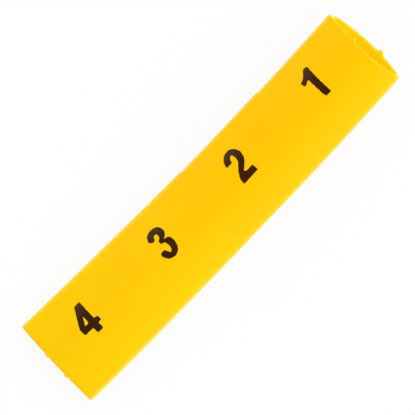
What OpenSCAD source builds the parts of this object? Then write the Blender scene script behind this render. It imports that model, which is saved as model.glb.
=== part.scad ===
// Strip of numbered cable marker sleeves, lying on a table.
// One thin tube is pressed towards flat and cut across into markers, which small bridges still join.
// X runs along the strip from its pressed end to its open end, Y across it towards the tops of the
// numbers, and Z up. The origin is under the middle of the strip, on the surface that it lies on.

/* [Tube] */
// Bore of the tube when a cable rounds it out
bore = 6.7; // [4.8:0.05:9.6]
// Thickness of the tube's wall
wall = 0.32; // [0.2:0.01:0.5]
// Inside radius of the crease along each side
crease_r = 0.06; // [0.03:0.01:0.15]

/* [Strip] */
// Length of one marker, from cut to cut
marker_len = 12.7; // [8:0.1:25.4]
// Rise of the faces above and below the creases at the pressed end
pressed_rise = 0.4; // [0.05:0.01:1]
// Rise of the faces above and below the creases at the open end
open_rise = 1.66; // [0.5:0.02:2.4]
// How early along its length the strip opens, where 1 is evenly
open_rate = 2.8; // [1:0.1:4]
// Sideways bow of the strip between its ends
bow = 0.45; // [0:0.01:1.5]

/* [Cuts] */
// Width of the cuts between the markers
cut_w = 0.05; // [0.03:0.01:0.2]
// How far each cut lies beside its even place, towards +X
cut_shifts = [0.05, 0.3, 0.35]; // [-0.6:0.01:0.6]
// Width of each bridge that is left in a cut
bridge_w = 0.55; // [0.3:0.05:0.9]
// Distance from the middle of a face to its bridge on the +Y side
bridge_far = 1.3; // [0.8:0.05:2.4]
// Distance from the middle of a face to its bridge on the -Y side
bridge_near = 1.7; // [0.8:0.05:2.4]
// Length of the bridge stubs where the pressed end was torn off
pressed_stub = 0.16; // [0.05:0.01:0.4]
// Length of the bridge stubs where the open end was torn off
open_stub = 0.36; // [0.05:0.01:0.6]
// Width of the stubs at their torn tips
stub_tip = 0.22; // [0.1:0.02:0.28]

/* [Numbers] */
// Numbers on the markers, from the pressed end to the open end
numbers = [4, 3, 2, 1]; // [1:1:4]
// Height of the numbers
number_h = 3.75; // [3.5:0.05:4.4]
// Width of the round numbers
number_w = 2.45; // [2.2:0.05:2.7]
// Width of the upright strokes
stem_w = 0.82; // [0.7:0.02:0.94]
// Width of the level strokes
bar_w = 0.66; // [0.5:0.02:0.76]
// Distance from the middle of a face to the middle of its number, towards +Y
number_shift = 1.19; // [-1.5:0.01:1.5]
// How much further towards +Y each number is than the one before it
number_drift = 0.04; // [-0.1:0.01:0.1]
// Turn of the numbers on their markers, in degrees
number_turn = 1.2; // [-3:0.1:3]
// Thickness of the ink
ink_t = 0.03; // [0.02:0.01:0.1]
// Clearance between the ink and the face below it
ink_lift = 0.03; // [0.02:0.01:0.06]

/* [Hidden] */

// Strip
markers = len(numbers);
strip_len = markers * marker_len;

// Section: broad arcs that run on into round creases, with the same girth all along the strip
crease_out = crease_r + wall;
crease_mid = crease_r + wall / 2;
quarter = PI * (bore + wall) / 4;
crease_start = quarter - crease_mid * PI / 2;

// Quarters of the tube and their bridges are numbered 0 to 3 from the upper face's +Y half onwards,
// and these are the bridges that left a stub where the strip was torn off
pressed_stubs = [0, 3];
open_stubs = [0, 2];

// Grid of the wall: steps along a marker, and around a quarter of the tube
marker_steps = 4;
middle_steps = 3;
flank_steps = 7;
crease_steps = 5;
quarter_steps = middle_steps + 1 + flank_steps + crease_steps;
girth_steps = 4 * quarter_steps;
marker_rings = marker_steps + 1;
last_band = markers * marker_rings;

// Sides of the round skin that the numbers are cut from, and of an arc in their outlines
skin_sides = 720;
arc_sides = 14;

// Evenly spaced values from a to just before b
function spaced(a, b, n) = [for (i = [0 : n - 1]) a + (b - a) * i / n];

// Mid-wall radius of a face that meets its creases at angle a, and its rise above them
function rad(a) = a * PI / 180;
function face_r(a) = (quarter - crease_mid * rad(90 - a)) / rad(a);
function face_rise(a) = (face_r(a) - crease_mid) * (1 - cos(a));

// Angle at which a face of a given rise meets its creases, found by halving
function face_angle(rise, low = 0.1, high = 90, rounds = 30) =
    let (a = (low + high) / 2)
    rounds == 0 ? a
    : face_rise(a) < rise ? face_angle(rise, a, high, rounds - 1)
    : face_angle(rise, low, a, rounds - 1);

// Distances around the wall from the middle of a face to a crease, with a bridge of width w as one
// step, on the +Y side and on the -Y side
function quarter_lines(bridge_pos, w) = concat(
    spaced(0, bridge_pos - w / 2, middle_steps),
    [bridge_pos - w / 2],
    spaced(bridge_pos + w / 2, crease_start, flank_steps),
    spaced(crease_start, quarter, crease_steps),
    [quarter]);
wall_lines = [quarter_lines(bridge_far, bridge_w), quarter_lines(bridge_near, bridge_w)];
tip_lines = [quarter_lines(bridge_far, stub_tip), quarter_lines(bridge_near, stub_tip)];

// Point of the section, across and up from its centre, at a distance m around from the middle of a
// face and a distance d outside mid-wall
function section_point(a, m, d) =
    let (r = face_r(a), face_len = r * rad(a), crease_y = (r - crease_mid) * sin(a))
    m < face_len
        ? let (t = m / rad(1) / r) [(r + d) * sin(t), (r + d) * cos(t) - (r - crease_mid) * cos(a)]
        : let (t = a + (m - face_len) / rad(1) / crease_mid)
            [crease_y + (crease_mid + d) * sin(t), (crease_mid + d) * cos(t)];

// Same for grid line j of all those around the tube
function girth_point(a, lines, j, d) =
    let (q = floor(j / quarter_steps), i = j % quarter_steps)
    let (p = section_point(a, lines[q < 2 ? 0 : 1][q % 2 == 0 ? i : quarter_steps - i], d))
    [q < 2 ? p.x : -p.x, q == 0 || q == 3 ? p.y : -p.y];

// Lie of the strip at x: how shut it still is, the rise of its faces, its bow and its turn
function shut(x) = min(1, max(0, 0.5 - x / strip_len));
function rise_at(x) = open_rise - (open_rise - pressed_rise) * pow(shut(x), open_rate);
function bow_at(x) = bow * pow(2 * x / strip_len, 2);
function turn_at(x) = atan(8 * bow * x / pow(strip_len, 2));
function half_width_at(x) =
    let (a = face_angle(rise_at(x))) crease_out + (face_r(a) - crease_mid) * sin(a);

// Middle line of the upper face at x: its height, its slope and the radius across it
function crown_at(x) = 2 * (crease_out + rise_at(x));
function slope_at(x) =
    atan(2 * (open_rise - pressed_rise) * open_rate * pow(shut(x), open_rate - 1) / strip_len);
function crown_r_at(x) = face_r(face_angle(rise_at(x))) + wall / 2;

// Rings of the grid, from stub to stub
function marker_x(k) = (k - markers / 2) * marker_len;
function cut_shift(k) = k > 0 && k < markers && k <= len(cut_shifts) ? cut_shifts[k - 1] : 0;
function marker_rings_at(k) =
    let (from = marker_x(k) + cut_shift(k) + (k > 0 ? cut_w / 2 : 0))
    let (to = marker_x(k + 1) + cut_shift(k + 1) - (k < markers - 1 ? cut_w / 2 : 0))
    concat(spaced(from, to, marker_steps), to);
rings = concat(
    [marker_x(0) - pressed_stub],
    [for (k = [0 : markers - 1]) each marker_rings_at(k)],
    [marker_x(markers) + open_stub]);

// Middle of the strip's overall width
side_y = [for (x = rings) each [bow_at(x) + half_width_at(x), bow_at(x) - half_width_at(x)]];
middle_y = (max(side_y) + min(side_y)) / 2;

// Points of ring b, outside and inside in turn
function ring_points(b) =
    let (x = rings[b], a = face_angle(rise_at(x)), turn = turn_at(x))
    let (lines = b == 0 || b > last_band ? tip_lines : wall_lines)
    [for (j = [0 : girth_steps - 1], d = [wall / 2, -wall / 2])
        let (p = girth_point(a, lines, j, d))
        [x - p.x * sin(turn), bow_at(x) - middle_y + p.x * cos(turn), crease_out + rise_at(x) + p.y]];

// Which cells of the grid are wall: all in a marker, only bridges in a cut, only stubs at the ends
function has(list, value) = len([for (v = list) if (v == value) v]) > 0;
function is_bridge(q, i) = i == (q % 2 == 0 ? middle_steps : quarter_steps - 1 - middle_steps);
function is_joined(b, q) =
    b == 0 ? has(pressed_stubs, q)
    : b == last_band ? has(open_stubs, q)
    : true;
function is_wall(b, j) =
    let (q = floor(j / quarter_steps) % 4, i = j % quarter_steps)
    b % marker_rings != 0 || is_bridge(q, i) && is_joined(b, q);
function is_kept(b, j) = b >= 0 && b <= last_band && is_wall(b, j + girth_steps);

// Corner of a grid cell in the list of points, outside (0) or inside (1)
function corner(b, j, side) = (b * girth_steps + j % girth_steps) * 2 + side;

// Faces of one cell that show, each as two triangles
function split(a, b, c, d) = [[a, b, c], [a, c, d]];
function cell_faces(b, j) =
    let (o00 = corner(b, j, 0), o10 = corner(b + 1, j, 0))
    let (o01 = corner(b, j + 1, 0), o11 = corner(b + 1, j + 1, 0))
    let (i00 = corner(b, j, 1), i10 = corner(b + 1, j, 1))
    let (i01 = corner(b, j + 1, 1), i11 = corner(b + 1, j + 1, 1))
    concat(
        split(o00, o01, o11, o10),
        split(i00, i10, i11, i01),
        is_kept(b - 1, j) ? [] : split(i00, i01, o01, o00),
        is_kept(b + 1, j) ? [] : split(o10, o11, i11, i10),
        is_kept(b, j - 1) ? [] : split(i00, o00, o10, i10),
        is_kept(b, j + 1) ? [] : split(i01, i11, o11, o01));

// Tube with its creases, cuts, bridges and stubs
module sleeve() {
    color([0.99, 0.79, 0.01])
        polyhedron(
            [for (b = [0 : last_band + 1]) each ring_points(b)],
            [for (b = [0 : last_band], j = [0 : girth_steps - 1])
                if (is_kept(b, j)) each cell_faces(b, j)]);
}

// Points of an elliptical arc about c with radii r
function arc(c, r, from, to) =
    [for (i = [0 : arc_sides])
        let (t = from + (to - from) * i / arc_sides)
        [c.x + r.x * cos(t), c.y + r.y * sin(t)]];

// Outlines of the numbers, each from its lower left corner
module number_one() {
    stem_x = number_w - stem_w * 1.78;
    right_x = stem_x + stem_w;
    tip_y = number_h * 0.75;
    heel = [stem_x * 0.2, tip_y - bar_w * 0.75];
    throat = [stem_x * 0.8, number_h * 0.7];
    polygon([
        [stem_x, 0], [right_x, 0], [right_x, number_h], [stem_x + stem_w / 4, number_h],
        [0, tip_y], heel, throat, [stem_x, number_h * 0.65]]);
}

module number_two() {
    r = number_w / 2;
    bowl = [r * 0.96, number_h - r];
    foot_h = bar_w * 1.12;
    foot_x = number_w * 0.97;
    heel_x = number_w - foot_x;
    polygon(concat(
        arc(bowl, [r * 0.98, r], 176, -33),
        [[stem_w * 1.4, foot_h * 1.35], [stem_w * 1.55, foot_h], [foot_x, foot_h], [foot_x, 0]],
        [[heel_x, 0], [heel_x, foot_h * 0.7]],
        arc(bowl, [r - stem_w, r - bar_w], -48, 176)));
}

module number_three() {
    r = number_w / 2;
    upper_r = number_h * 0.235;
    lower_r = number_h * 0.335;
    upper = [r * 0.98, number_h - upper_r];
    lower = [r * 1.03, lower_r];
    waist_x = r * 0.88;
    polygon(concat(
        arc(upper, [r * 0.97, upper_r], 174, -45),
        arc(lower, [r, lower_r], 50, -166),
        arc(lower, [r - stem_w, lower_r - bar_w], 188, 410),
        [[waist_x, number_h * 0.53], [waist_x, number_h * 0.635]],
        arc(upper, [r - stem_w * 1.08, upper_r - bar_w], -60, 208)));
}

module number_four() {
    stem_x = number_w - stem_w * 1.5;
    right_x = stem_x + stem_w;
    bar_y = number_h * 0.205;
    bar_top = bar_y + bar_w;
    tab_x = right_x + stem_w * 0.62;
    tab_top = bar_y + bar_w * 0.85;
    left_x = -stem_w / 6;
    hole_x = stem_x * 0.55;
    hole_top = number_h * 0.59;
    difference() {
        polygon([
            [stem_x, 0], [right_x, 0], [right_x, bar_y], [tab_x, bar_y], [tab_x, tab_top],
            [right_x, tab_top], [right_x, number_h], [stem_x, number_h],
            [left_x, bar_top * 1.08], [left_x, bar_y], [stem_x, bar_y]]);
        polygon([[stem_x, bar_top], [stem_x, hole_top], [hole_x, bar_top]]);
    }
}

module number_outline(n) {
    if (n == 1) number_one();
    if (n == 2) number_two();
    if (n == 3) number_three();
    if (n == 4) number_four();
}

// Skin of ink over a round face of radius r, whose middle line lies along X at z = 0
module ink_skin(r) {
    translate([0, 0, -r])
        rotate([0, 90, 0])
            difference() {
                cylinder(h = 2 * number_w, r = r + ink_lift + ink_t, center = true, $fn = skin_sides);
                cylinder(h = 3 * number_w, r = r + ink_lift, center = true, $fn = skin_sides);
            }
}

// Print on the upper faces, one number in the middle of each marker
module printed_numbers() {
    color([0.16, 0.1, 0.07])
        for (k = [0 : markers - 1]) {
            x = (marker_x(k) + marker_x(k + 1)) / 2;
            across = number_shift + number_drift * (k - (markers - 1) / 2);
            translate([x, bow_at(x) - middle_y, crown_at(x)])
                rotate([0, -slope_at(x), turn_at(x)])
                    intersection() {
                        ink_skin(crown_r_at(x));
                        translate([0, across, -number_h / 2])
                            rotate(number_turn)
                                translate([-number_w / 2, -number_h / 2, 0])
                                    linear_extrude(number_h) number_outline(numbers[k]);
                    }
        }
}

sleeve();
printed_numbers();
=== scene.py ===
"""Strip of numbered cable marker sleeves, lying on a white table."""

from math import atan, atan2, copysign, cos, hypot, pi, radians, sin

import bpy
from mathutils import Matrix, Vector, noise


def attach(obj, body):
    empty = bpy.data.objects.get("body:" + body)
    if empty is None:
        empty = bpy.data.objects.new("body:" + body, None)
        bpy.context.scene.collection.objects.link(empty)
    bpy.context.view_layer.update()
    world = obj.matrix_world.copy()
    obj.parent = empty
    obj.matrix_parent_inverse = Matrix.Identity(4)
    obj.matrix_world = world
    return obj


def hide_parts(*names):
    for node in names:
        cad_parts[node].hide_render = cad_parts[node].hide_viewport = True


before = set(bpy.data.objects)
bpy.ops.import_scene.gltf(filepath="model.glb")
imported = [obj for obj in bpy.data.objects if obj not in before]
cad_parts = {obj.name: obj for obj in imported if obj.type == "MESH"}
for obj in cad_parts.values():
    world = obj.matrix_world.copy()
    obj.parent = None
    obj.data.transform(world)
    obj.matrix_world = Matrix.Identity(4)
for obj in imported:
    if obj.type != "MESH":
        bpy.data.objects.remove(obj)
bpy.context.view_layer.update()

# Sizes are in millimetres unless a comment says otherwise, and MM is a millimetre in metres. The strip
# lies along X, from its pressed end to its open end, with its far side towards +Y.
MM = 0.001

# The sleeve, with the sizes of the part's source
BORE = 6.7
WALL = 0.32
CREASE_R = 0.06
MARKER_LEN = 12.7
NUMBERS = [4, 3, 2, 1]
PRESSED_RISE = 0.4
OPEN_RISE = 1.66
OPEN_RATE = 2.8
BOW = 0.45
CUT_SHIFTS = [0.05, 0.3, 0.35]
BRIDGE_W = 0.55
BRIDGE_FAR = 1.3
BRIDGE_NEAR = 1.7
PRESSED_STUB = 0.16
OPEN_STUB = 0.36

MARKERS = len(NUMBERS)
STRIP_LEN = MARKERS * MARKER_LEN
HALF_LEN = STRIP_LEN / 2
ROUND_R = (BORE + WALL) / 2
CREASE_OUT = CREASE_R + WALL
CREASE_MID = CREASE_R + WALL / 2
QUARTER = pi * ROUND_R / 2
CREASE_START = QUARTER - CREASE_MID * pi / 2

# The cuts lie nearly closed, and the rims of both ends are a little rounded
CUT_W = 0.002
EDGE_ROUND = 0.02
EDGE_ROUND_STEPS = 2

# Cuts that have sprung open, counted from the one after the first marker: on the far (1) or the near
# side (-1), how much wider they are, and how far from the middle they start to open and are fully open
CUTS_OPEN = {1: (1, 0.018, 2.5, 4.5), 2: (-1, 0.022, 0, 0.6)}

# Stubs that torn bridges left at each end, by the quarter of the tube that they are on, counted round
# from the upper face's far half: their length, and their width at the marker and at the tip
PRESSED_STUBS = {0: (0.12, 0.6, 0.22), 3: (PRESSED_STUB, 0.6, 0.22)}
OPEN_STUBS = {0: (0.32, 0.5, 0.3), 2: (OPEN_STUB, 0.95, 0.2)}

# How far each marker's far and near side stand out at its start and at its end, and the distance from
# its middle line up to which nothing stands out
FAR_SIDES = [(-0.02, 0.045), (0.065, 0.03), (-0.065, 0.05), (-0.08, -0.015)]
NEAR_SIDES = [(0.055, 0.01), (-0.008, 0), (-0.01, 0.02), (0.02, -0.06)]
STRAIGHT = 2.2

# The numbers, with the sizes of the part's source
NUMBER_H = 3.75
NUMBER_W = 2.45
STEM_W = 0.82
BAR_W = 0.66
NUMBER_SHIFT = 1.19
NUMBER_DRIFT = 0.04
NUMBER_TURN = radians(1.2)

# The film of ink and the gap under it
INK_T = 0.008
INK_LIFT = 0.004

# The ink's edge: the step between its points, the rounds of easing that round its corners, how far the
# ink spreads, and how far the edge wanders, with the waves per millimetre, their shares and their seed
INK_STEP = 0.06
INK_ROUNDS = 4
INK_SPREAD = 0.032
INK_RAGGED = 0.035
INK_WAVES = [(3.5, 1), (9, 0.6)]
INK_SEED = 4

# Steps of the wall's mesh around a quarter of the tube, and along a marker
MIDDLE_STEPS = 8
BRIDGE_STEPS = 2
FLANK_STEPS = 16
CREASE_STEPS = 8
QUARTER_STEPS = MIDDLE_STEPS + BRIDGE_STEPS + FLANK_STEPS + CREASE_STEPS
GIRTH_STEPS = 4 * QUARTER_STEPS
MARKER_STEPS = 40

# Steps of the numbers' meshes: along an arc, and across a number each way, and how near points are merged
ARC_STEPS = 14
NUMBER_STEPS = 16
MERGE = 0.0005

# Angles between faces from which an edge of the wall is sharp, and up to which it is shaded smooth
SHARP = radians(50)
SMOOTH = radians(35)

# The search for a face's angle: its halvings, and the flattest angle in radians
HALVINGS = 40
FLATTEST = 0.001

# The section is wide and low, so the way out from its centre counts this much more upwards than across
UPWARD = 3


def face_r(angle):
    """Mid-wall radius of a face that meets its creases at this angle."""
    return (QUARTER - CREASE_MID * (pi / 2 - angle)) / angle


def face_angle(rise):
    """Angle at which a face of this rise meets its creases."""
    low, high = FLATTEST, pi / 2
    for _ in range(HALVINGS):
        angle = (low + high) / 2
        if (face_r(angle) - CREASE_MID) * (1 - cos(angle)) < rise:
            low = angle
        else:
            high = angle
    return angle


def rise_at(x):
    """Rise of the faces above and below the creases."""
    shut = min(1, max(0, 0.5 - x / STRIP_LEN))
    return OPEN_RISE - (OPEN_RISE - PRESSED_RISE) * shut**OPEN_RATE


def bow_at(x):
    """How far the middle line of the bowed strip lies to the far side."""
    return BOW * (2 * x / STRIP_LEN) ** 2


def turn_at(x):
    """Angle of the bowed middle line."""
    return atan(8 * BOW * x / STRIP_LEN**2)


def half_width_at(x):
    """Half of the section's width over its creases."""
    angle = face_angle(rise_at(x))
    return CREASE_OUT + (face_r(angle) - CREASE_MID) * sin(angle)


def section_point(angle, m, out=0):
    """Point across and up from the section's centre, m around from the middle of a face.

    It lies this far outside mid-wall.
    """
    r = face_r(angle)
    crease_y = (r - CREASE_MID) * sin(angle)
    if m < r * angle:
        return (r + out) * sin(m / r), (r + out) * cos(m / r) - (r - CREASE_MID) * cos(angle)
    t = angle + (m - r * angle) / CREASE_MID
    return crease_y + (CREASE_MID + out) * sin(t), (CREASE_MID + out) * cos(t)


def spaced(a, b, n):
    """Places of n even steps from a towards b, without b itself."""
    return [a + (b - a) * i / n for i in range(n)]


def quarter_lines(bridge, width):
    """Distances around the wall of the mesh lines, from the middle of a face to a crease."""
    start, end = bridge - width / 2, bridge + width / 2
    return [
        *spaced(0, start, MIDDLE_STEPS),
        *spaced(start, end, BRIDGE_STEPS),
        *spaced(end, CREASE_START, FLANK_STEPS),
        *spaced(CREASE_START, QUARTER, CREASE_STEPS),
        QUARTER,
    ]


BRIDGES = (BRIDGE_FAR, BRIDGE_FAR, BRIDGE_NEAR, BRIDGE_NEAR)


def stub_lines(stubs, which):
    """Mesh lines of the four quarters at an end, at the root of its stubs (1) or at their tips (2)."""
    return [
        quarter_lines(bridge, stubs[q][which] if q in stubs else BRIDGE_W)
        for q, bridge in enumerate(BRIDGES)
    ]


WALL_LINES = [quarter_lines(bridge, BRIDGE_W) for bridge in BRIDGES]
END_LINES = {
    -1: (stub_lines(PRESSED_STUBS, 1), stub_lines(PRESSED_STUBS, 2)),
    1: (stub_lines(OPEN_STUBS, 1), stub_lines(OPEN_STUBS, 2)),
}


def marker_x(k):
    """Where marker k would start if all were the same length."""
    return (k - MARKERS / 2) * MARKER_LEN


def cut_x(k):
    """Where marker k is cut off from the one before it."""
    return marker_x(k) + (CUT_SHIFTS[k - 1] if 0 < k < MARKERS else 0)


def beside_cut(x, reach):
    """Whether a place along the strip is within this reach of the middle of a cut."""
    return any(abs(x - cut_x(k)) < reach for k in range(1, MARKERS))


def marker_ends(k):
    """Where marker k starts and ends along the strip."""
    start = cut_x(k) + (CUT_W / 2 if k else 0)
    end = cut_x(k + 1) - (CUT_W / 2 if k < MARKERS - 1 else 0)
    return start, end


def stations():
    """Places of the rings along the strip, from the end of one stub to the end of the other."""
    xs = [marker_x(0) - PRESSED_STUB]
    for k in range(MARKERS):
        start, end = marker_ends(k)
        xs += [*spaced(start, end, MARKER_STEPS), end]
    return [*xs, marker_x(MARKERS) + OPEN_STUB]


RINGS = stations()
SIDES = [bow_at(x) + s * half_width_at(x) for x in RINGS for s in (1, -1)]
MIDDLE_Y = (max(SIDES) + min(SIDES)) / 2


def stands_out(x, y):
    """How far the marker at x stands out of line here: nothing near its middle, most at its side."""
    k = sum(x > cut_x(i) for i in range(1, MARKERS))
    along = (x - cut_x(k)) / (cut_x(k + 1) - cut_x(k))
    start, end = (FAR_SIDES if y > 0 else NEAR_SIDES)[k]
    share = max(0, abs(y) - STRAIGHT) / (half_width_at(x) - STRAIGHT)
    return (start + (end - start) * along) * copysign(share, y)


def sprung(x, y):
    """Where a ring at x lies once the cuts have sprung open."""
    for k, (side, wider, start, full) in CUTS_OPEN.items():
        past = x - cut_x(k)
        if abs(past) < CUT_W:
            share = min(1, max(0, (side * y - start) / (full - start)))
            return x + copysign(wider / 2, past) * share
    return x


def placed(x, y, z):
    """Point of the section at x, turned and carried to its place along the bowed strip."""
    turn = turn_at(x)
    y += stands_out(x, y)
    x = sprung(x, y)
    return Vector((
        x - y * sin(turn),
        bow_at(x) - MIDDLE_Y + y * cos(turn),
        CREASE_OUT + rise_at(x) + z,
    )) * MM


def around(x, j):
    """Distance around from the middle of a face to mesh line j of the ring at x."""
    q, i = divmod(j, QUARTER_STEPS)
    past_end = abs(x) - HALF_LEN
    lines = WALL_LINES if past_end < -CUT_W else END_LINES[copysign(1, x)][past_end > CUT_W]
    return lines[q][i if q % 2 == 0 else QUARTER_STEPS - i]


def torn(x, q):
    """Where the tips of the stubs on quarter q lie, for a ring past the end of the strip."""
    stubs = PRESSED_STUBS if x < 0 else OPEN_STUBS
    return copysign(HALF_LEN + stubs[q][0], x) if q in stubs else x


def pressed(x, j):
    """Where mesh line j of the round tube lies once the strip is pressed towards flat."""
    q = j // QUARTER_STEPS
    y, z = section_point(face_angle(rise_at(x)), around(x, j))
    if abs(x) > HALF_LEN + CUT_W:
        x = torn(x, q)
    return placed(x, y if q < 2 else -y, z if q in (0, 3) else -z)


def on_face(x, m, lift):
    """Point this high above the upper face, m across from its middle."""
    y, z = section_point(face_angle(rise_at(x)), abs(m), WALL / 2 + lift)
    return placed(x, y if m > 0 else -y, z)


def line_of(point):
    """Mesh line, counted on from the top, at a point of the round tube."""
    return (atan2(point.y, point.z) / (2 * pi) * GIRTH_STEPS) % GIRTH_STEPS


def is_cut_away(x, line):
    """Whether the wall is missing here: in a cut or beside a torn end, away from the bridges."""
    q, i = divmod(int(line), QUARTER_STEPS)
    i = i if q % 2 == 0 else QUARTER_STEPS - 1 - i
    bridge = MIDDLE_STEPS <= i < MIDDLE_STEPS + BRIDGE_STEPS
    if x < marker_x(0):
        return not (bridge and q in PRESSED_STUBS)
    if x > marker_x(MARKERS):
        return not (bridge and q in OPEN_STUBS)
    return beside_cut(x, CUT_W / 2) and not bridge


def only(obj):
    """Selects one object and makes it active."""
    bpy.ops.object.select_all(action="DESELECT")
    obj.select_set(True)
    bpy.context.view_layer.objects.active = obj


def finish_modifier(obj, kind, **values):
    """Adds a modifier with these values and applies it."""
    modifier = obj.modifiers.new(kind.lower(), kind)
    for name, value in values.items():
        setattr(modifier, name, value)
    only(obj)
    bpy.ops.object.modifier_apply(modifier=modifier.name)


def select_only(mesh, items):
    """Selects these vertices, edges or faces of a mesh and no others."""
    for part in (mesh.vertices, mesh.edges, mesh.polygons):
        part.foreach_set("select", [False] * len(part))
    for item in items:
        item.select = True


def edit(action, mode, **values):
    """Runs one mesh operator on what is selected, in edit mode."""
    bpy.ops.object.mode_set(mode="EDIT")
    bpy.ops.mesh.select_mode(type=mode)
    action(**values)
    bpy.ops.object.mode_set(mode="OBJECT")


def add_measure(mesh, name, domain, values):
    """Stores one number for each point or face, for the materials to read."""
    mesh.attributes.new(name, "FLOAT", domain).data.foreach_set("value", values)


def make_tube():
    """Round tube at mid-wall, with its rings where the strip needs them."""
    bpy.ops.object.select_all(action="DESELECT")
    bpy.ops.mesh.primitive_circle_add(
        vertices=GIRTH_STEPS, radius=ROUND_R * MM, rotation=(pi, pi / 2, 0),
        location=(RINGS[0] * MM, 0, 0), enter_editmode=True,
    )
    for a, b in zip(RINGS, RINGS[1:]):
        bpy.ops.mesh.extrude_region_move(TRANSFORM_OT_translate={"value": ((b - a) * MM, 0, 0)})
    bpy.ops.object.mode_set(mode="OBJECT")
    bpy.ops.object.transform_apply(location=True, rotation=True, scale=True)
    return bpy.context.object


def cut_across(mesh):
    """Takes the wall out of the cuts and from beside the torn stubs."""
    gone = [f for f in mesh.polygons if is_cut_away(f.center.x / MM, line_of(f.center))]
    select_only(mesh, gone)
    edit(bpy.ops.mesh.delete, "FACE", type="FACE")


def press(mesh):
    """Presses the tube towards flat, and stores where each point was on it and if that is beside a cut."""
    grid = [(v.co.x / MM, round(line_of(v.co)) % GIRTH_STEPS) for v in mesh.vertices]
    add_measure(mesh, "along", "POINT", [x for x, _ in grid])
    add_measure(mesh, "around", "POINT", [around(x, j) for x, j in grid])
    add_measure(mesh, "edge", "POINT", [float(beside_cut(x, CUT_W)) for x, _ in grid])
    for v, (x, j) in zip(mesh.vertices, grid):
        v.co = pressed(x, j)
    select_only(mesh, mesh.polygons)
    edit(bpy.ops.mesh.normals_make_consistent, "FACE", inside=False)


def round_rims(mesh):
    """Rounds the sharp edges of the wall at both ends of the strip."""
    select_only(mesh, [])
    edit(bpy.ops.mesh.edges_select_sharp, "EDGE", sharpness=SHARP)
    along = [item.value for item in mesh.attributes["along"].data]
    at_end = [min(abs(along[v]) for v in e.vertices) > HALF_LEN - EDGE_ROUND for e in mesh.edges]
    select_only(mesh, [e for e, end in zip(mesh.edges, at_end) if e.select and end])
    edit(bpy.ops.mesh.bevel, "EDGE", offset=EDGE_ROUND * MM, segments=EDGE_ROUND_STEPS, affect="EDGES")


def measure_faces(mesh):
    """Stores how far each face points along the strip, as a cut one does, and whether it is inside."""
    cut = []
    inside = []
    for face in mesh.polygons:
        x, y, z = face.center / MM
        turn = turn_at(x)
        cut.append(abs(face.normal.x * cos(turn) + face.normal.y * sin(turn)))
        outward = Vector((0, y - bow_at(x) + MIDDLE_Y, UPWARD * (z - CREASE_OUT - rise_at(x))))
        inside.append(float(face.normal.dot(outward) < 0))
    add_measure(mesh, "cut", "FACE", cut)
    add_measure(mesh, "inside", "FACE", inside)


def make_sleeve():
    """Round tube, cut across, pressed towards flat and given its wall."""
    sleeve = make_tube()
    sleeve.name = "sleeve_wall"
    mesh = sleeve.data
    cut_across(mesh)
    press(mesh)
    finish_modifier(sleeve, "SOLIDIFY", thickness=WALL * MM, offset=0, use_even_offset=True)
    round_rims(mesh)
    measure_faces(mesh)
    only(sleeve)
    bpy.ops.object.shade_smooth_by_angle(angle=SMOOTH)
    return sleeve


def arc(centre, radii, start, end):
    """Points of an elliptical arc between two angles in degrees."""
    angles = [radians(start + (end - start) * i / ARC_STEPS) for i in range(ARC_STEPS + 1)]
    return [(centre[0] + radii[0] * cos(t), centre[1] + radii[1] * sin(t)) for t in angles]


# Each number is a list of outlines, measured from its lower left corner: the outer one, then any hole
def number_one():
    stem_x = NUMBER_W - STEM_W * 1.78
    right_x = stem_x + STEM_W
    tip_y = NUMBER_H * 0.75
    foot = [(stem_x + STEM_W * 0.05, 0), (right_x, 0)]
    corner = [(right_x, NUMBER_H * 0.9), (right_x - STEM_W * 0.07, NUMBER_H)]
    top = (stem_x + STEM_W * 0.3, NUMBER_H)
    flag = [(stem_x * 0.6, NUMBER_H * 0.81), (stem_x * 0.3, NUMBER_H * 0.79), (0, tip_y)]
    heel = (stem_x * 0.2, tip_y - BAR_W * 0.78)
    throat = [(stem_x * 0.8, NUMBER_H * 0.7), (stem_x, NUMBER_H * 0.65)]
    return [[*foot, *corner, top, *flag, heel, *throat]]


def number_two():
    r = NUMBER_W / 2
    bowl = (r * 0.945, NUMBER_H - r)
    bowl_r = r * 0.97
    foot_h = BAR_W * 1.12
    foot_x = NUMBER_W * 0.945
    stroke_right = (NUMBER_W * 0.65, NUMBER_H * 0.355)
    stroke_left = (NUMBER_W * 0.26, NUMBER_H * 0.345)
    throat = [(STEM_W * 1.35, foot_h * 1.35), (STEM_W * 1.55, foot_h)]
    foot = [(foot_x, foot_h), (foot_x, 0), (NUMBER_W * 0.035, 0), (NUMBER_W * 0.085, foot_h * 0.94)]
    return [[
        *arc(bowl, (bowl_r, r), 180, -35),
        stroke_right, *throat, *foot, stroke_left,
        *arc(bowl, (bowl_r - STEM_W, r - BAR_W * 0.88), -48, 178),
    ]]


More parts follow.
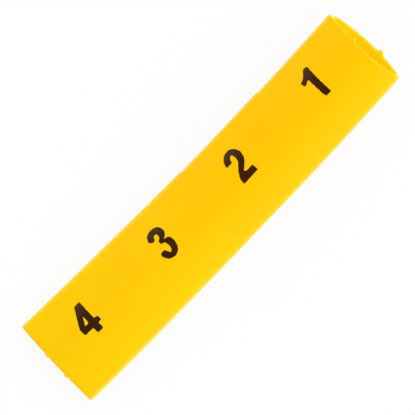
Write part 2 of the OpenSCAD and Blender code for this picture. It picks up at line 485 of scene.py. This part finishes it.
def number_three():
    r = NUMBER_W / 2
    upper_r = NUMBER_H * 0.235
    lower_r = NUMBER_H * 0.335
    upper = (r * 0.98, NUMBER_H - upper_r)
    lower = (r * 1.075, lower_r * 0.975)
    lower_w = r * 0.95
    waist_x = r * 0.9
    notch = [(NUMBER_W * 0.69, NUMBER_H * 0.575), (NUMBER_W * 0.69, NUMBER_H * 0.548)]
    waist = [
        (waist_x, NUMBER_H * 0.518), (waist_x, NUMBER_H * 0.613), (NUMBER_W * 0.608, NUMBER_H * 0.659),
    ]
    upper_tip = [(NUMBER_W * 0.2, NUMBER_H * 0.705), (NUMBER_W * 0.04, NUMBER_H * 0.8)]
    lower_tip = [(NUMBER_W * 0.14, NUMBER_H * 0.32), (NUMBER_W * 0.35, NUMBER_H * 0.32)]
    return [[
        *arc(upper, (r * 0.97, upper_r), 140, -45),
        *notch,
        *arc(lower, (lower_w, lower_r), 30, -172),
        *lower_tip,
        *arc(lower, (lower_w - STEM_W * 0.95, lower_r - BAR_W * 0.87), 245, 420),
        *waist,
        *arc(upper, (r - STEM_W * 1.08, upper_r - BAR_W * 0.9), -20, 208),
        *upper_tip,
    ]]


def number_four():
    stem_x = NUMBER_W - STEM_W * 1.5
    right_x = stem_x + STEM_W
    bar_y = NUMBER_H * 0.205
    bar_top = bar_y + BAR_W
    tab_x = right_x + STEM_W * 0.62
    tab_top = bar_y + BAR_W * 0.85
    left_x = -STEM_W / 6
    foot = [(stem_x, 0), (right_x, 0)]
    tab = [(right_x, bar_y), (tab_x, bar_y), (tab_x, tab_top), (right_x, tab_top)]
    top = [(right_x, NUMBER_H), (stem_x, NUMBER_H)]
    bar = [(left_x, bar_top * 1.08), (left_x, bar_y), (stem_x, bar_y)]
    hole = [(stem_x, bar_top), (stem_x, NUMBER_H * 0.64), (stem_x * 0.5, bar_top)]
    return [[*foot, *tab, *top, *bar], hole]


OUTLINES = {1: number_one, 2: number_two, 3: number_three, 4: number_four}


def stepped(outline):
    """The outline with a point at every small step."""
    points = []
    for (x, y), (next_x, next_y) in zip(outline, outline[1:] + outline[:1]):
        n = max(1, round(hypot(next_x - x, next_y - y) / INK_STEP))
        points += zip(spaced(x, next_x, n), spaced(y, next_y, n))
    return points


def eased(outline):
    """The outline with each point drawn halfway towards its neighbours, which rounds the corners."""
    beside = zip(outline[-1:] + outline[:-1], outline, outline[1:] + outline[:1])
    return [((a[0] + 2 * b[0] + c[0]) / 4, (a[1] + 2 * b[1] + c[1]) / 4) for a, b, c in beside]


def spread(outline, by):
    """The outline moved this far outwards."""
    after = outline[1:] + outline[:1]
    area = sum(a[0] * b[1] - a[1] * b[0] for a, b in zip(outline, after))
    points = []
    for a, b, c in zip(outline[-1:] + outline[:-1], outline, after):
        dx, dy = c[0] - a[0], c[1] - a[1]
        shift = copysign(by / hypot(dx, dy), area)
        points.append((b[0] + dy * shift, b[1] - dx * shift))
    return points


def wander(x, y, k):
    """Which way the ink's edge wanders at a point of the number on marker k."""
    way = Vector((0, 0, 0))
    for per_mm, share in INK_WAVES:
        way += noise.noise_vector(Vector((x, y, k)) * per_mm) * share
    return way


def printed(outline, k, by):
    """The outline as it lies on marker k, along it and across it, spread and with the ink's ragged edge."""
    outline = stepped(outline)
    for _ in range(INK_ROUNDS):
        outline = eased(outline)
    drift = NUMBER_DRIFT * (k - (MARKERS - 1) / 2)
    points = []
    for x, y in spread(outline, by):
        rough = wander(x, y, k)
        x += rough.x * INK_RAGGED - NUMBER_W / 2
        y += rough.y * INK_RAGGED - NUMBER_H / 2
        points.append((
            x * cos(NUMBER_TURN) - y * sin(NUMBER_TURN),
            x * sin(NUMBER_TURN) + y * cos(NUMBER_TURN) + NUMBER_SHIFT + drift,
        ))
    return points


def flat_number(k):
    """The number of marker k, filled and flat, placed along and across its marker."""
    flat = bpy.data.curves.new("number", "CURVE")
    flat.dimensions = "2D"
    flat.fill_mode = "BOTH"
    for i, outline in enumerate(OUTLINES[NUMBERS[k]]()):
        points = printed(outline, k, 0 if i else INK_SPREAD)
        spline = flat.splines.new("POLY")
        spline.points.add(len(points) - 1)
        for point, (x, y) in zip(spline.points, points):
            point.co = (x * MM, y * MM, 0, 1)
        spline.use_cyclic_u = True
    number = bpy.data.objects.new("number", flat)
    bpy.context.scene.collection.objects.link(number)
    only(number)
    bpy.ops.object.convert(target="MESH")
    return bpy.context.object


def cut_up(mesh):
    """Cuts a flat number into small faces, which can follow the round face of the sleeve."""
    for axis, way in enumerate(((1, 0, 0), (0, 1, 0))):
        places = [v.co[axis] / MM for v in mesh.vertices]
        for place in spaced(min(places), max(places), NUMBER_STEPS)[1:]:
            select_only(mesh, mesh.polygons)
            edit(bpy.ops.mesh.bisect, "FACE", plane_co=Vector(way) * place * MM, plane_no=way)
    select_only(mesh, mesh.polygons)
    edit(bpy.ops.mesh.remove_doubles, "VERT", threshold=MERGE * MM)


def make_number(k):
    """One number, laid on its marker as a film of ink."""
    number = flat_number(k)
    mesh = number.data
    cut_up(mesh)
    heights = [(v.co.y / MM - NUMBER_SHIFT) / NUMBER_H + 0.5 for v in mesh.vertices]
    add_measure(mesh, "height", "POINT", heights)
    middle = (marker_x(k) + marker_x(k + 1)) / 2
    for v in mesh.vertices:
        v.co = on_face(middle + v.co.x / MM, v.co.y / MM, INK_LIFT)
    finish_modifier(number, "SOLIDIFY", thickness=INK_T * MM, offset=1)
    return number


def make_print():
    """The numbers of all the markers, joined as one piece."""
    noise.seed_set(INK_SEED)
    numbers = [make_number(k) for k in range(MARKERS)]
    bpy.ops.object.select_all(action="DESELECT")
    for number in numbers:
        number.select_set(True)
    bpy.context.view_layer.objects.active = numbers[0]
    bpy.ops.object.join()
    numbers[0].name = "number_ink"
    return numbers[0]


def join_up(tree, socket, value):
    """Links a socket to another one, or sets it to a plain value."""
    if isinstance(value, bpy.types.NodeSocket):
        tree.links.new(value, socket)
    else:
        socket.default_value = value


def add_node(tree, kind, inputs=None, **settings):
    """Adds a node with these settings and inputs."""
    made = tree.nodes.new(kind)
    for name, value in settings.items():
        setattr(made, name, value)
    for name, value in (inputs or {}).items():
        join_up(tree, made.inputs[name], value)
    return made


# Sockets of a Mix node that hold its two colours and their mix
MIX_FIRST = 6
MIX_SECOND = 7
MIX_RESULT = 2


def blend(tree, factor, first, second):
    """Colour between two others."""
    mix = add_node(tree, "ShaderNodeMix", {"Factor": factor}, data_type="RGBA")
    join_up(tree, mix.inputs[MIX_FIRST], first)
    join_up(tree, mix.inputs[MIX_SECOND], second)
    return mix.outputs[MIX_RESULT]


def calc(tree, operation, *values):
    """Result of one Math node."""
    return add_node(tree, "ShaderNodeMath", dict(enumerate(values)), operation=operation).outputs[0]


def ramp(tree, value, start, end, low=0.0, high=1.0):
    """Value that goes smoothly from low to high as another goes from start to end."""
    inputs = {"Value": value, "From Min": start, "From Max": end, "To Min": low, "To Max": high}
    return add_node(tree, "ShaderNodeMapRange", inputs, interpolation_type="SMOOTHSTEP").outputs["Result"]


def object_place(tree):
    """Place on the piece, in metres."""
    return add_node(tree, "ShaderNodeTexCoord").outputs["Object"]


def measure(tree, name):
    """One of the numbers that are stored on the mesh."""
    return add_node(tree, "ShaderNodeAttribute", attribute_name=name).outputs["Fac"]


# How rough the grain is in itself, and the span of its values that matters
GRAIN_ROUGHNESS = 0.6
GRAIN_SPAN = (0.3, 0.7)


def make_grain():
    """Node group that gives an uneven value over a surface."""
    group = bpy.data.node_groups.new("surface_grain", "ShaderNodeTree")
    group.interface.new_socket("Scale", in_out="INPUT", socket_type="NodeSocketVector")
    group.interface.new_socket("Detail", in_out="INPUT", socket_type="NodeSocketFloat")
    group.interface.new_socket("Value", in_out="OUTPUT", socket_type="NodeSocketFloat")
    given = add_node(group, "NodeGroupInput").outputs
    scaled = {0: object_place(group), 1: given["Scale"]}
    laid = add_node(group, "ShaderNodeVectorMath", scaled, operation="MULTIPLY").outputs[0]
    spots = {"Vector": laid, "Scale": 1, "Detail": given["Detail"], "Roughness": GRAIN_ROUGHNESS}
    value = add_node(group, "ShaderNodeTexNoise", spots).outputs["Fac"]
    add_node(group, "NodeGroupOutput", {"Value": value})
    return group


GRAIN = make_grain()


def grain(tree, size, detail=3, stretch=(1, 1, 1)):
    """Uneven value over the surface, with spots of this size."""
    inputs = {"Scale": Vector(stretch) / (size * MM), "Detail": detail}
    return add_node(tree, "ShaderNodeGroup", inputs, node_tree=GRAIN).outputs["Value"]


BUMP_DEPTH = 0.01


def add_bump(tree, shader, height, strength):
    """Gives a surface fine bumps that follow a value."""
    inputs = {"Height": height, "Strength": strength, "Distance": BUMP_DEPTH * MM}
    bump = add_node(tree, "ShaderNodeBump", inputs)
    join_up(tree, shader.inputs["Normal"], bump.outputs["Normal"])


def new_material(name, piece):
    """New material on a piece, with its node tree and its shader."""
    material = bpy.data.materials.new(name)
    material.use_nodes = True
    piece.data.materials.clear()
    piece.data.materials.append(material)
    return material.node_tree, material.node_tree.nodes["Principled BSDF"]


# Colours of the plastic: near the pressed end, and near the open end and in the clouds, deeper there as
# painted shade;
# along the creases, stress-whitening with a painted sheen; beside the cuts, a painted highlight; on cut
# faces; inside the tube, painted light; and at the creases' cut faces at the mouth, stress-whitening with a
# painted highlight
YELLOW = (0.98, 0.606, 0.001, 1)
DEEP_AND_SHADED_YELLOW = (0.97, 0.538, 0.0005, 1)
WHITENED_SHEEN_YELLOW = (1.0, 0.8, 0.2, 1)
CUT_HIGHLIGHT_YELLOW = (1.0, 0.68, 0.02, 1)
CUT_YELLOW = (0.83, 0.46, 0.0005, 1)
INSIDE_LIT_YELLOW = (1.0, 0.69, 0.002, 1)
CREASE_WHITE_HIGHLIGHT = (1.0, 0.97, 0.75, 1)

# Where along the strip the yellow deepens as painted shade towards the open end, and the clouds that deepen
# it unevenly
OPEN_END_SHADE_SPAN = (-STRIP_LEN * 0.6, STRIP_LEN * 0.4)
CLOUD_SIZE = 6
CLOUD_DETAIL = 2
CLOUD_SPAN = (0.35, 0.7)
CLOUD_SHARE = 0.25

# How strong the paler colours are, the painted highlight beside the cuts and the creases' stress-whitening
# with a painted sheen, and where around the wall the one of the creases comes in
CUT_HIGHLIGHT_SHARE = 0.12
PALE_SHARE = 0.2
PALE_SPAN = (CREASE_START - 0.3, QUARTER)

# How far a face points along the strip where it counts as cut
CUT_SPAN = (0.3, 0.8)

# The white at the mouth, stress-whitening with a painted highlight: where it lies around and along the
# wall, and its share at the near crease
WHITE_SPAN = (CREASE_START - 0.6, QUARTER - 0.2)
MOUTH_SPAN = (HALF_LEN - 1, HALF_LEN - 0.5)
NEAR_WHITE = 0.2

# Streaks drawn out along the strip, and the satin surface that they give
STREAK_SIZE = 0.25
STREAK_STRETCH = (0.04, 1, 1)
STREAK_BUMP = 0.3
PLASTIC_ROUGHNESS = (0.42, 0.55)
PLASTIC_SHINE = 0.05


def face_colour(tree, cut):
    """Yellow of the wall, deeper as painted shade towards the open end and deeper on cut faces, paler as a
    painted highlight beside the cuts, and lighter inside as painted light.
    """
    clouds = ramp(tree, grain(tree, CLOUD_SIZE, CLOUD_DETAIL), *CLOUD_SPAN)
    # Painted shade: the yellow deepens towards the open end
    open_end_shade = ramp(tree, measure(tree, "along"), *OPEN_END_SHADE_SPAN)
    deeper = calc(tree, "MULTIPLY_ADD", clouds, CLOUD_SHARE, open_end_shade)
    uneven = blend(tree, deeper, YELLOW, DEEP_AND_SHADED_YELLOW)
    # Painted highlight: paler beside the cuts
    edge = ramp(tree, measure(tree, "edge"), 0, 1, 0, CUT_HIGHLIGHT_SHARE)
    cut_highlighted = blend(tree, edge, uneven, CUT_HIGHLIGHT_YELLOW)
    # Painted light: lighter inside the tube
    lit = blend(tree, measure(tree, "inside"), cut_highlighted, INSIDE_LIT_YELLOW)
    return blend(tree, cut, lit, CUT_YELLOW)


def whitened_highlight(tree, cut):
    """Share of white on the cut faces of the creases at the mouth, most of it at the far one:
    stress-whitening with a painted highlight.
    """
    split = ramp(tree, measure(tree, "around"), *WHITE_SPAN)
    mouth = ramp(tree, measure(tree, "along"), *MOUTH_SPAN)
    across = add_node(tree, "ShaderNodeSeparateXYZ", {"Vector": object_place(tree)}).outputs["Y"]
    far = ramp(tree, across, 0, MM, NEAR_WHITE, 1)
    white = cut
    for share in (split, mouth, far):
        white = calc(tree, "MULTIPLY", white, share)
    return white


def paint_plastic(sleeve):
    """Satin yellow plastic, drawn lengthwise, paler along its creases, as stress-whitening with a painted
    sheen, and beside its cuts, as a painted highlight, with painted shade towards the open end and painted
    light inside.
    """
    tree, shader = new_material("yellow_plastic", sleeve)
    cut = ramp(tree, measure(tree, "cut"), *CUT_SPAN)
    # Paler along the creases: stress-whitening with a painted sheen
    crease_whitening_sheen = ramp(tree, measure(tree, "around"), *PALE_SPAN, 0, PALE_SHARE)
    pale = blend(tree, crease_whitening_sheen, face_colour(tree, cut), WHITENED_SHEEN_YELLOW)
    # White on the cut faces of the creases at the mouth: stress-whitening with a painted highlight
    join_up(tree, shader.inputs["Base Color"], blend(tree, whitened_highlight(tree, cut), pale, CREASE_WHITE_HIGHLIGHT))
    streaks = grain(tree, STREAK_SIZE, stretch=STREAK_STRETCH)
    join_up(tree, shader.inputs["Roughness"], ramp(tree, streaks, *GRAIN_SPAN, *PLASTIC_ROUGHNESS))
    add_bump(tree, shader, streaks, STREAK_BUMP)
    shader.inputs["Specular IOR Level"].default_value = PLASTIC_SHINE


# Colours of the ink: where it is full, where a painted sheen greys it, and in its dark specks
INK_FULL = (0.0425, 0.012, 0.0005, 1)
INK_SHEEN = (0.069, 0.033, 0.013, 1)
INK_DARK = (0.02, 0.009, 0.003, 1)

# Where the painted sheen greys the ink, in shares of a number's height, and its specks and surface
SHEEN_SPAN = (0.5, 1.05)
SPECK_SIZE = 0.25
SPECK_SPAN = (0.55, 0.75)
SPECK_SHARE = 0.35
SPECK_BUMP = 0.4
INK_ROUGHNESS = (0.5, 0.7)
INK_SHINE = 0.06


def paint_ink(ink):
    """Matt brown-black ink, greyer towards the tops of the numbers as a painted sheen."""
    tree, shader = new_material("brown_black_ink", ink)
    specks = grain(tree, SPECK_SIZE)
    # Painted sheen: the ink greys towards the tops of the numbers
    ink_sheen = ramp(tree, measure(tree, "height"), *SHEEN_SPAN)
    mixed = blend(tree, ink_sheen, INK_FULL, INK_SHEEN)
    dark = ramp(tree, specks, *SPECK_SPAN, 0, SPECK_SHARE)
    join_up(tree, shader.inputs["Base Color"], blend(tree, dark, mixed, INK_DARK))
    join_up(tree, shader.inputs["Roughness"], ramp(tree, specks, *GRAIN_SPAN, *INK_ROUGHNESS))
    add_bump(tree, shader, specks, SPECK_BUMP)
    shader.inputs["Specular IOR Level"].default_value = INK_SHINE


# The view: raised above the table, turned about the strip and rolled. The camera is far off and sees this
# width at its aim, which lies this far from under the strip's middle, steeply and level across the view.
VIEW_RAISED = radians(72.36)
VIEW_ROUND = radians(-6.29)
VIEW_ROLL = radians(39.196)
VIEW_FAR = 1500
VIEW_WIDTH = 45.153
AIM_STEEP = 0.8546
AIM_LEVEL = 0.4256
SENSOR = 36

# Nearest and farthest that the camera sees, in metres
CLIP_NEAR = 0.1
CLIP_FAR = 10


def make_camera():
    """Camera at the view's angle."""
    toward = Vector((
        cos(VIEW_RAISED) * cos(VIEW_ROUND), cos(VIEW_RAISED) * sin(VIEW_ROUND), sin(VIEW_RAISED),
    ))
    level = Vector((-sin(VIEW_ROUND), cos(VIEW_ROUND), 0))
    steep = toward.cross(level)
    right = -cos(VIEW_ROLL) * steep - sin(VIEW_ROLL) * level
    up = -sin(VIEW_ROLL) * steep + cos(VIEW_ROLL) * level
    aim = AIM_STEEP * steep + AIM_LEVEL * level - Vector((0, MIDDLE_Y, 0))
    bpy.ops.object.camera_add()
    camera = bpy.context.object
    turned = Matrix((right, up, toward)).transposed().to_4x4()
    camera.matrix_world = Matrix.Translation((aim + VIEW_FAR * toward) * MM) @ turned
    camera.data.sensor_width = SENSOR
    camera.data.lens = SENSOR * VIEW_FAR / VIEW_WIDTH
    camera.data.clip_start = CLIP_NEAR
    camera.data.clip_end = CLIP_FAR
    bpy.context.scene.camera = camera


# The table: its size in metres, its drop under the strip, its grey and roughness, and the share of plain
# white in what is seen of it
TABLE_SIZE = 4
TABLE_DROP = 0.01
TABLE_GREY = 0.9
TABLE_ROUGHNESS = 0.9
TABLE_GLOW = 0.9
WHITE = (1, 1, 1, 1)


def make_table():
    """White table that still shows a faint shadow."""
    bpy.ops.object.select_all(action="DESELECT")
    bpy.ops.mesh.primitive_plane_add(size=TABLE_SIZE, location=(0, 0, -TABLE_DROP * MM))
    table = bpy.context.object
    table.name = "table"
    tree, shader = new_material("white_table", table)
    shader.inputs["Base Color"].default_value = (TABLE_GREY, TABLE_GREY, TABLE_GREY, 1)
    shader.inputs["Roughness"].default_value = TABLE_ROUGHNESS
    shader.inputs["Specular IOR Level"].default_value = 0
    path = add_node(tree, "ShaderNodeLightPath").outputs
    seen = path["Is Camera Ray"]
    for ray in ("Is Glossy Ray", "Is Transmission Ray"):
        seen = calc(tree, "MAXIMUM", seen, path[ray])
    white = add_node(tree, "ShaderNodeEmission", {"Color": WHITE, "Strength": 1})
    both = add_node(tree, "ShaderNodeMixShader", {"Fac": calc(tree, "MULTIPLY", seen, TABLE_GLOW)})
    tree.links.new(shader.outputs[0], both.inputs[1])
    tree.links.new(white.outputs[0], both.inputs[2])
    tree.links.new(both.outputs[0], tree.nodes["Material Output"].inputs["Surface"])


# Light tent: the light of its walls and its darker top, the steepness, from 0 to 1, at which the walls
# end and the top begins, and how much brighter it is towards +X and +Y than in the middle
TENT_WALLS = 1.99
TENT_TOP = 0.15
TENT_EDGE = 0.45
TENT_OPENING = 0.95
TENT_SIDES = {"X": 0.55, "Y": -0.15}


def make_light():
    """Light tent with bright walls all round, and a darker top where the camera looks in."""
    world = bpy.data.worlds.new("light_tent")
    world.use_nodes = True
    tree = world.node_tree
    way = add_node(tree, "ShaderNodeTexCoord").outputs["Generated"]
    way = add_node(tree, "ShaderNodeSeparateXYZ", {"Vector": way}).outputs
    glow = ramp(tree, way["Z"], TENT_EDGE, TENT_OPENING, TENT_WALLS, TENT_TOP)
    for axis, more in TENT_SIDES.items():
        glow = calc(tree, "MULTIPLY", glow, calc(tree, "MULTIPLY_ADD", way[axis], more, 1))
    tree.links.new(glow, tree.nodes["Background"].inputs["Strength"])
    tree.nodes["Background"].inputs["Color"].default_value = WHITE
    bpy.context.scene.world = world


sleeve = make_sleeve()
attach(sleeve, "root")
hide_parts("sleeve")
paint_plastic(sleeve)

ink = make_print()
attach(ink, "root")
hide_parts("printed_numbers")
paint_ink(ink)

make_camera()
make_table()
make_light()
bpy.context.scene.view_settings.view_transform = "Standard"
